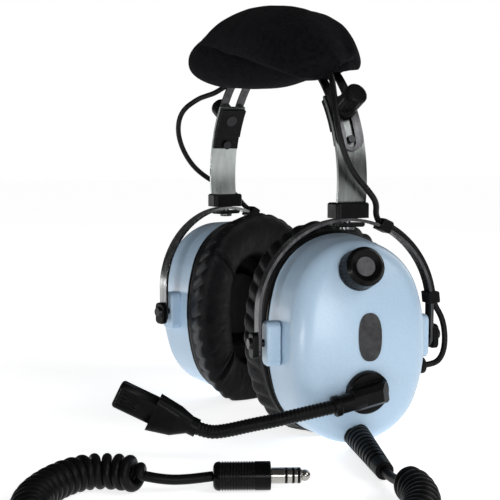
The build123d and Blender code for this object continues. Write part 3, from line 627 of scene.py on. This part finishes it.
def make_ear_seal(side):
    """A pleated ring: gathered side, raised face edge, face panels sewn at four seams."""
    matrix = cup_frame(side)
    flip = SIDES[side]
    points = []
    along = 0.0
    before = oval_point(SEAL_OUTER, 0.0)
    for i in range(SEAL_TURNS):
        turn = i / SEAL_TURNS
        outer = oval_point(SEAL_OUTER, turn)
        inner = oval_point(SEAL_INNER, turn)
        along += (outer - before).length
        before = outer
        seam = min(abs(turn - s) for s in FACE_SEAMS) * SEAL_LENGTH
        for share, depth in SEAL_SECTION:
            flat = inner.lerp(outer, share)
            x = SEAL_BACK - SEAL_DEPTH * depth
            raise_by, press = 0.0, 0.0
            if share > 0.9 and depth < GATHER_TO:
                gather = smooth_step((depth - GATHER_FROM) / 0.12) * smooth_step((GATHER_TO - depth) / 0.14)
                raise_by = PLEAT_DEPTH * gather * pleat_height(along, depth)
            elif depth > 0.6:
                radial = Vector((along * 210.0, share * 5.0, flip * 4.0))
                wrinkle = noise.noise(radial) + 0.5 * noise.noise(radial * 2.3)
                press = CRUMPLE_DEPTH * wrinkle * smooth_step(share / 0.2)
                sewn = smooth_step((1.22 - share) / 0.12)
                press -= SEAM_DEPTH * math.exp(-(seam / SEAM_HALF_W) ** 2) * sewn
                press += WELT_HEIGHT * math.exp(-((seam - WELT_AT) / WELT_HALF_W) ** 2) * sewn
            away = flat.normalized()
            flat = flat + away * raise_by
            points.append(rested(matrix @ Vector((x - press, flat.x, flat.y))))
    seal = new_mesh(side + "_seal_cover", points,
                    ring_faces(SEAL_TURNS, len(SEAL_SECTION), closed_along=True))
    rounder = seal.modifiers.new("rounder", "SUBSURF")
    rounder.levels = rounder.render_levels = 1
    dress(seal, leather)
    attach(seal, side + "_cup")
    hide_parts(side + "_ear_seal")


FOAM_OUTLINE = (0.0310, 0.0420, 0.0290)          # half width, half height, end radius
FOAM_TURNS = 96
FOAM_LUMP = 0.0005
# the section: share from the middle (0) to the outline (1), place out from the cup's tilt axis
FOAM_SECTION = [
    (0.01, 0.0010), (0.30, 0.0012), (0.56, 0.0010), (0.60, 0.0002), (0.61, -0.0030), (0.61, -0.0085),
    (0.63, -0.0104), (0.68, -0.0112), (0.80, -0.0116), (0.92, -0.0112), (0.98, -0.0104), (1.00, -0.0085),
    (1.00, 0.0000), (1.00, 0.0070), (0.97, 0.0090), (0.90, 0.0098), (0.50, 0.0100), (0.01, 0.0100)]


def make_cup_foam(side):
    """Damping foam: a thick pad behind the driver with a raised rim round it."""
    matrix = cup_frame(side)
    points = []
    for i in range(FOAM_TURNS):
        edge = oval_point(FOAM_OUTLINE, i / FOAM_TURNS)
        for share, x in FOAM_SECTION:
            flat = edge * share
            lump = FOAM_LUMP * noise.noise(Vector((flat.x, flat.y, x)) * 160.0)
            points.append(matrix @ Vector((x + lump, flat.x, flat.y)))
    pad = new_mesh(side + "_cup_foam", points,
                   ring_faces(FOAM_TURNS, len(FOAM_SECTION), closed_along=True))
    rounder = pad.modifiers.new("rounder", "SUBSURF")
    rounder.levels = rounder.render_levels = 1
    dress(pad, foam)
    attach(pad, side + "_cup")
    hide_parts(side + "_damping_foam")


for side in SIDES:
    make_ear_seal(side)
    make_cup_foam(side)


# ---------------------------------------------------------------- head pad
PAD_SIDES = 56
PAD_ROWS = 90


def squared(value, power):
    return math.copysign(abs(value) ** power, value)


def pad_mesh(name, section_at):
    """A closed pillow from a run of closed sections; section_at(t) gives its ring of points."""
    points = []
    for i in range(PAD_ROWS + 1):
        t = 0.5 - 0.5 * math.cos(math.pi * i / PAD_ROWS)
        points += section_at(min(max(t, 0.0005), 0.9995))
    pad = new_mesh(name, points, ring_faces(PAD_ROWS + 1, PAD_SIDES))
    rounder = pad.modifiers.new("rounder", "SUBSURF")
    rounder.levels = rounder.render_levels = 1
    dress(pad, cloth)
    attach(pad, "headband")
    return pad


def crumple(point, size, depth):
    """Gentle folds of soft cloth."""
    return depth * noise.noise(point / size)


OUTER_FROM, OUTER_TO = 43.0, 131.0               # degrees along the arch
OUTER_TOP_R = 0.0990
OUTER_LOW_R = 0.0805
OUTER_HALF_W = 0.0330
# how far the front edge hangs below the strap, from the near end to the far end of the cushion
FRONT_HANG = [(0.00, 0.0090), (0.09, 0.0125), (0.36, 0.0185), (0.636, 0.0132), (0.785, 0.0010),
              (0.90, -0.0080), (1.00, -0.0120)]
REAR_HANG = 0.007
NEAR_SKEW = 9.0                                  # degrees by which the rear of its near end is shorter
FRONT_SLOPE = [(0.00, 0.011), (0.40, 0.010), (0.55, 0.008), (0.77, 0.0035), (1.00, 0.004)]
REAR_SLOPE = 0.0155
NEAR_DROP = 0.0050                               # how much lower the rear edge is at the near end
VALLEY_Y = 0.0060                                # the fold over the strap, towards the rear
VALLEY_DEPTH = 0.0050
VALLEY_W = 0.0055
VALLEY_TO = 0.75                                 # share of the cushion's length at which it has run out
OUTER_DROP = 0.0035                              # how much lower its top is at both ends


def between(stops, at):
    """A value read from a smooth curve through (place, value) stops."""
    at = min(max(at, stops[0][0]), stops[-1][0])
    last = len(stops) - 1
    i = 0
    while i < last - 1 and at > stops[i + 1][0]:
        i += 1

    def slope(j):
        before, after = stops[max(j - 1, 0)], stops[min(j + 1, last)]
        return (after[1] - before[1]) / (after[0] - before[0])

    (low, first), (high, second) = stops[i], stops[i + 1]
    span = high - low
    u = (at - low) / span
    return (first * (2 * u ** 3 - 3 * u ** 2 + 1) + slope(i) * span * (u ** 3 - 2 * u ** 2 + u)
            + second * (3 * u ** 2 - 2 * u ** 3) + slope(i + 1) * span * (u ** 3 - u ** 2))


def outer_section(t):
    """The upper cushion, bent over the arch; its front side hangs past the strap and hooks under."""
    end = (1 - abs(2 * t - 1) ** 4.0) ** 0.5
    width = OUTER_HALF_W * (0.50 + 0.50 * end) * min(1.0, end * 2.4)
    ring = []
    for k in range(PAD_SIDES):
        phase = 2 * math.pi * k / PAD_SIDES
        across = squared(math.cos(phase), 0.55)
        front = across < 0
        angle = OUTER_FROM + (OUTER_TO - OUTER_FROM) * t + NEAR_SKEW * max(across, 0.0) * (1 - t) ** 2
        angle = math.radians(angle)
        away = Vector((math.cos(angle), 0, math.sin(angle)))
        slope = between(FRONT_SLOPE, t) if front else REAR_SLOPE + NEAR_DROP * max(0.0, 1 - t / 0.4) ** 1.5
        hang = between(FRONT_HANG, t) if front else REAR_HANG
        top = OUTER_TOP_R - OUTER_DROP * (2 * t - 1) ** 2 - slope * across ** 2
        low = OUTER_LOW_R - hang * smooth_step((abs(across) - 0.45) / 0.5)
        middle, half = (top + low) / 2, (top - low) / 2 * (0.15 + 0.85 * end)
        point = away * (middle + half * squared(math.sin(phase), 0.75)) + Vector((0, width * across, 0))
        if math.sin(phase) > 0:
            fold = math.exp(-((point.y - VALLEY_Y) / VALLEY_W) ** 2) * smooth_step((VALLEY_TO - t) / 0.5)
            folds = crumple(point, 0.024, 0.0014) + crumple(point, 0.009, 0.0005)
            point += away * (folds - VALLEY_DEPTH * fold)
        else:
            point += away * crumple(point, 0.015, 0.0006)
        point.y += crumple(point + Vector((1, 1, 1)), 0.020, 0.0012) * abs(across)
        ring.append(ARCH + point)
    return ring


# how far it reaches to the front and to the rear, along the lower cushion
INNER_FRONT = [(-0.0710, 0.0325), (-0.0450, 0.0335), (-0.0300, 0.0310), (0.0000, 0.0255), (0.0580, 0.0235)]
INNER_REAR = [(-0.0710, 0.0280), (0.0000, 0.0280), (0.0300, 0.0220), (0.0580, 0.0150)]
INNER_REAR_RISE = 0.0085                         # how much higher its underside is at the rear
# heights over the arch's axis along the lower cushion, which runs out level past the strap's far side
INNER_LOW = [(-0.0710, 0.0690), (-0.0700, 0.0650), (-0.0620, 0.0590), (-0.0450, 0.0530), (-0.0200, 0.0490),
             (0.0110, 0.0470), (0.0340, 0.0475), (0.0490, 0.0505), (0.0560, 0.0545), (0.0580, 0.0590)]
INNER_TOP = [(-0.0710, 0.0690), (-0.0695, 0.0750), (-0.0620, 0.0820), (-0.0480, 0.0880), (-0.0360, 0.0890),
             (-0.0200, 0.0830), (0.0000, 0.0755), (0.0300, 0.0695), (0.0500, 0.0640), (0.0580, 0.0595)]


def inner_section(t):
    """The lower cushion: it fills the arch, and its far end bulges up past the strap's front edge."""
    x = INNER_LOW[0][0] + (INNER_LOW[-1][0] - INNER_LOW[0][0]) * t
    low, top = between(INNER_LOW, x), between(INNER_TOP, x)
    end = (1 - abs(2 * t - 1) ** 7.0) ** 0.5
    ring = []
    for k in range(PAD_SIDES):
        phase = 2 * math.pi * k / PAD_SIDES
        across = squared(math.cos(phase), 0.75)
        y = between(INNER_REAR if across > 0 else INNER_FRONT, x) * across * (0.45 + 0.55 * end)
        underside = min(low + INNER_REAR_RISE * smooth_step((y + 0.026) / 0.034), (low + top) / 2)
        z = (top + underside) / 2 + (top - underside) / 2 * squared(math.sin(phase), 0.85)
        point = Vector((x, y, z))
        if math.sin(phase) < 0:
            point.z += crumple(point, 0.020, 0.0008)
        ring.append(ARCH + point)
    return ring


outer_pad = pad_mesh("upper_cushion", outer_section)
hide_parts("head_pad_outer")
inner_pad = pad_mesh("lower_cushion", inner_section)
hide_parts("head_pad_inner")


# ---------------------------------------------------------------- gooseneck
NECK_R = 0.0035
NECK_PITCH = 0.0019
NECK_GROOVE = 0.00045
NECK_ROUTE = [(0.0920, -0.0420, 0.0242), (0.0870, -0.0515, 0.0216), (0.0798, -0.0615, 0.0188),
              (0.0732, -0.0720, 0.0156), (0.0678, -0.0801, 0.0145), (0.0638, -0.0872, 0.0184)]


def make_gooseneck():
    """One ribbed sleeve from the boom's collar to the microphone, which bends at its middle."""
    collar = [v.co for v in frame["nodes"]["boom_collar"].data.vertices]
    centre = sum(collar, Vector()) / len(collar)
    route = [head(*p) for p in NECK_ROUTE]
    aim = (centre - route[0]).normalized()
    start = centre + aim * 0.001
    line = Line([start, start.lerp(route[0], 0.45)] + route)

    def radius(distance):
        wave = abs(math.sin(math.pi * distance / NECK_PITCH)) ** 0.6
        return NECK_R - NECK_GROOVE * (1 - wave)

    neck = tube("gooseneck", line, radius, NECK_PITCH / 8, sides=24)
    dress(neck, neck_metal)
    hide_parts("gooseneck_base", "gooseneck_knuckle", "gooseneck_tip")
    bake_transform(neck)


make_gooseneck()


# ---------------------------------------------------------------- bridge lead
LEAD_R = 0.0016
YOKE_R = 0.0483
YOKE_T = 0.0016
YOKE_SPRING = 0.0142
LOOP_ROUTE = [(0.0020, 0.0400, -0.0164), (0.0020, 0.0506, -0.0168), (0.0014, 0.0562, -0.0115),
              (0.0006, 0.0578, -0.0020), (0.0002, 0.0560, 0.0085)]
TRACK_FROM, TRACK_TO = 2.5, 69.5                 # degrees along the yoke's arch
UPPER_ROUTES = {
    "left": [(0.0750, 0.0145, 0.1194), (0.0796, 0.0120, 0.1265), (0.0808, 0.0050, 0.1335),
             (0.0804, -0.0025, 0.1410), (0.0800, -0.0080, 0.1505), (0.0784, -0.0106, 0.1610),
             (0.0758, -0.0110, 0.1720), (0.0715, -0.0094, 0.1820), (0.0640, -0.0060, 0.1905),
             (0.0555, -0.0038, 0.1960)],
    "right": [(-0.0750, 0.0145, 0.1194), (-0.0796, 0.0120, 0.1260), (-0.0816, 0.0035, 0.1310),
              (-0.0820, -0.0070, 0.1360), (-0.0815, -0.0180, 0.1440), (-0.0810, -0.0260, 0.1560),
              (-0.0795, -0.0295, 0.1680), (-0.0755, -0.0280, 0.1790), (-0.0690, -0.0200, 0.1860),
              (-0.0625, -0.0170, 0.1877), (-0.0587, -0.0135, 0.1891), (-0.0556, -0.0090, 0.1924),
              (-0.0524, -0.0045, 0.1954)]}
BRIDGE_R = 0.0785
BRIDGE_Y = -0.003
BRIDGE_ENDS = {"left": 53.0, "right": 129.0}


def track_point(matrix, degrees):
    """A point of the lead where it lies on a yoke."""
    angle = math.radians(degrees)
    track = YOKE_R + YOKE_T / 2 + LEAD_R + 0.00005
    return matrix @ Vector((0.0, track * math.cos(angle), YOKE_SPRING + track * math.sin(angle)))


def bridge_point(degrees):
    angle = math.radians(degrees)
    return ARCH + Vector((BRIDGE_R * math.cos(angle), BRIDGE_Y, BRIDGE_R * math.sin(angle)))


def plain(radius):
    return lambda distance: radius


def make_bridge_lead():
    """The lead between the cups: a loop and a track on each yoke, a slack rise, a run over the strap."""
    for side in SIDES:
        matrix = cup_frame(side)
        track = [track_point(matrix, TRACK_FROM + (TRACK_TO - TRACK_FROM) * i / 8) for i in range(9)]
        lower = Line([matrix @ Vector(p) for p in LOOP_ROUTE] + track)
        loop = tube(side + "_lead_loop", lower, plain(LEAD_R), 0.0015, sides=16)
        dress(loop, lead_jacket)
        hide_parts(side + "_lead_lower")
        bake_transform(loop)

        free = [head(*p) for p in UPPER_ROUTES[side]]
        low_route = [track[-1]] + free + [bridge_point(BRIDGE_ENDS[side])]
        rise = Line(low_route)
        split = nearest_distance(rise, head(*UPPER_ROUTES[side][2]))
        foot = tube(side + "_lead_foot", rise, plain(LEAD_R), 0.0015, sides=16, end=split)
        slack = tube(side + "_lead_rise", rise, plain(LEAD_R), 0.0015, sides=16, start=split)
        for piece in (foot, slack):
            dress(piece, lead_jacket)
        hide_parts(side + "_lead_upper")
        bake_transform(foot)
        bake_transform(slack)

    near, far = BRIDGE_ENDS["left"], BRIDGE_ENDS["right"]
    over = Line([bridge_point(near + (far - near) * i / 14) for i in range(15)])
    middle = tube("lead_over_strap", over, plain(LEAD_R), 0.002, sides=16)
    dress(middle, lead_jacket)
    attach(middle, "headband")
    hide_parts("bridge_lead_middle")


make_bridge_lead()


# ---------------------------------------------------------------- slots in the microphone's side
MIC_START = (0.0638, -0.0872, 0.0184)
MIC_END = (0.0460, -0.1190, 0.0360)
MIC_SIDE = 0.0047                                # half the front's width
MIC_MIDDLE = 0.0012                              # its middle, up from the microphone's own line
SLOT_AT = 0.0345                                 # along the microphone
SLOT_HALF_L = 0.0017
SLOT_HALF_W = 0.00055
SLOT_PITCH = 0.0021
SLOT_DEPTH = 0.0009


def slot_cutter(centre, along, up, outward):
    """A round-ended bar that cuts one slot."""
    sides = 24
    points = []
    for reach in (-SLOT_DEPTH, SLOT_DEPTH):
        for k in range(sides):
            phase = 2 * math.pi * k / sides
            run = math.copysign(SLOT_HALF_L - SLOT_HALF_W, math.cos(phase)) + SLOT_HALF_W * math.cos(phase)
            points.append(centre + along * run + up * SLOT_HALF_W * math.sin(phase) + outward * reach)
    return new_mesh("cutter", points, ring_faces(2, sides))


def make_mic_front():
    """The microphone's front from the CAD, with three short slots cut in each side near its end."""
    start, end = head(*MIC_START), head(*MIC_END)
    along = (end - start).normalized()
    side = along.cross(Vector((0, 0, 1))).normalized()
    up = along.cross(side)
    front = bpy.data.objects.new("mic_front_slotted", frame["nodes"]["mic_front"].data.copy())
    bpy.context.scene.collection.objects.link(front)
    for outward in (side, -side):
        for i in (-1, 0, 1):
            centre = start + along * SLOT_AT + up * (MIC_MIDDLE + SLOT_PITCH * i) + outward * MIC_SIDE
            cutter = slot_cutter(centre, along, up, outward)
            cut = front.modifiers.new("cut", "BOOLEAN")
            cut.object = cutter
            cut.solver = "EXACT"
            mesh = bpy.data.meshes.new_from_object(front.evaluated_get(bpy.context.evaluated_depsgraph_get()))
            front.modifiers.clear()
            front.data = mesh
            bpy.data.objects.remove(cutter)
    smooth_by_angle(front)
    dress(front, plastic)
    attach(front, "microphone")
    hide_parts("mic_front")


make_mic_front()


# ---------------------------------------------------------------- blank badge on the left cup
BADGE = (0.0062, 0.0120)                         # half width and half height
BADGE_PLACE = (0.0012, 0.0055)                   # across and up the cup's face
BADGE_T = 0.0006
FACE_X, CROWN_R = 0.029, 0.130


def make_badge():
    """A plain oval badge with a raised rim, following the crowned face; it carries no mark."""
    matrix = cup_frame("left")
    rows = [(1.00, -0.0002), (1.00, 0.8), (0.97, 1.0), (0.90, 1.0), (0.86, 0.55), (0.60, 0.50), (0.30, 0.50)]
    sides = 72
    points = []
    for share, lift in rows:
        for k in range(sides):
            phase = 2 * math.pi * k / sides
            y = BADGE_PLACE[0] + BADGE[0] * share * squared(math.cos(phase), 0.8)
            z = BADGE_PLACE[1] + BADGE[1] * share * squared(math.sin(phase), 0.8)
            outward = Vector((math.sqrt(CROWN_R ** 2 - y ** 2 - z ** 2), y, z)).normalized()
            points.append(matrix @ (Vector((FACE_X - CROWN_R, 0, 0)) + outward * (CROWN_R + BADGE_T * lift)))
    badge = new_mesh("blank_badge", points, ring_faces(len(rows), sides))
    smooth_by_angle(badge, 40.0)
    dress(badge, badge_grey)
    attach(badge, "left_cup")


make_badge()


# ---------------------------------------------------------------- CAD shading
for obj in frame["nodes"].values():
    smooth_by_angle(obj)


# ---------------------------------------------------------------- floor, backdrop and light
FLOOR_HALF = 6.0
FLOOR_SEEN = 0.78                                # the floor's own light, as the camera sees it
FLOOR_BOUNCE = 0.80                              # and as the object receives it
WORLD_LIGHT = 0.08
SUN = ((0.75, 0.45, 0.62), 0.8, 30.0)            # direction, strength, degrees across
# name, place, aim, size, power
BOXES = [
    ("front_box", (0.25, -0.75, 0.03), (0.05, 0, 0.02), (0.16, 0.05), 1.0),
    ("camera_box", (1.15, -0.30, 0.20), (0.05, 0, 0.08), (0.50, 0.40), 4.2),
    ("far_box", (-0.95, -0.65, 0.04), (-0.08, 0, 0.02), (0.50, 0.08), 0.8),
    ("rear_box", (-0.2, 1.0, 0.6), (0.0, 0, 0.1), (0.4, 0.8), 2.0)]


def area_light(name, at, aim, size, power):
    data = bpy.data.lights.new(name, "AREA")
    data.shape = "RECTANGLE"
    data.size, data.size_y = size
    data.energy = power
    light = bpy.data.objects.new(name, data)
    light.location = head(*at)
    direction = head(*aim) - light.location
    light.rotation_mode = "QUATERNION"
    light.rotation_quaternion = direction.to_track_quat("-Z", "Y")
    bpy.context.scene.collection.objects.link(light)


def sun_light(towards, strength, softness):
    """Soft light from far off, which keeps the whole floor evenly pale."""
    data = bpy.data.lights.new("sun", "SUN")
    data.energy = strength
    data.angle = math.radians(softness)
    light = bpy.data.objects.new("sun", data)
    light.rotation_mode = "QUATERNION"
    light.rotation_quaternion = Vector(towards).to_track_quat("Z", "Y")
    bpy.context.scene.collection.objects.link(light)


def make_world():
    """A white backdrop that lights the object only a little."""
    world = bpy.data.worlds.new("studio")
    world.use_nodes = True
    tree = world.node_tree
    dim = tree.nodes["Background"]
    dim.inputs["Color"].default_value = (1.0, 1.0, 1.0, 1.0)
    dim.inputs["Strength"].default_value = WORLD_LIGHT
    white = tree.nodes.new("ShaderNodeBackground")
    white.inputs["Color"].default_value = (1.0, 1.0, 1.0, 1.0)
    seen = tree.nodes.new("ShaderNodeLightPath")
    choose = tree.nodes.new("ShaderNodeMixShader")
    tree.links.new(seen.outputs["Is Camera Ray"], choose.inputs["Fac"])
    tree.links.new(dim.outputs["Background"], choose.inputs[1])
    tree.links.new(white.outputs["Background"], choose.inputs[2])
    tree.links.new(choose.outputs["Shader"], tree.nodes["World Output"].inputs["Surface"])
    bpy.context.scene.world = world


def floor_white():
    """A pale floor with light of its own, so that shadows stay light and undersides are lit."""
    made = shader("pale_floor", (0.93, 0.93, 0.93), 0.9)
    tree = made.node_tree
    glow = tree.nodes.new("ShaderNodeEmission")
    glow.inputs["Strength"].default_value = FLOOR_SEEN
    seen = tree.nodes.new("ShaderNodeLightPath")
    lift = tree.nodes.new("ShaderNodeMixShader")
    both = tree.nodes.new("ShaderNodeAddShader")
    bounce = tree.nodes.new("ShaderNodeEmission")
    bounce.inputs["Strength"].default_value = FLOOR_BOUNCE
    join(made, seen.outputs["Is Camera Ray"], lift.inputs["Fac"])
    join(made, bounce.outputs["Emission"], lift.inputs[1])
    join(made, glow.outputs["Emission"], lift.inputs[2])
    join(made, tree.nodes["Principled BSDF"].outputs["BSDF"], both.inputs[0])
    join(made, lift.outputs["Shader"], both.inputs[1])
    join(made, both.outputs["Shader"], tree.nodes["Material Output"].inputs["Surface"])
    return made


def make_stage():
    corners = [(-FLOOR_HALF, -FLOOR_HALF, 0), (FLOOR_HALF, -FLOOR_HALF, 0),
               (FLOOR_HALF, FLOOR_HALF, 0), (-FLOOR_HALF, FLOOR_HALF, 0)]
    floor = new_mesh("floor", corners, [(0, 1, 2, 3)])
    dress(floor, floor_white())
    make_world()
    sun_light(*SUN)
    for box in BOXES:
        area_light(*box)
    bpy.context.scene.view_settings.view_transform = "Standard"


make_stage()
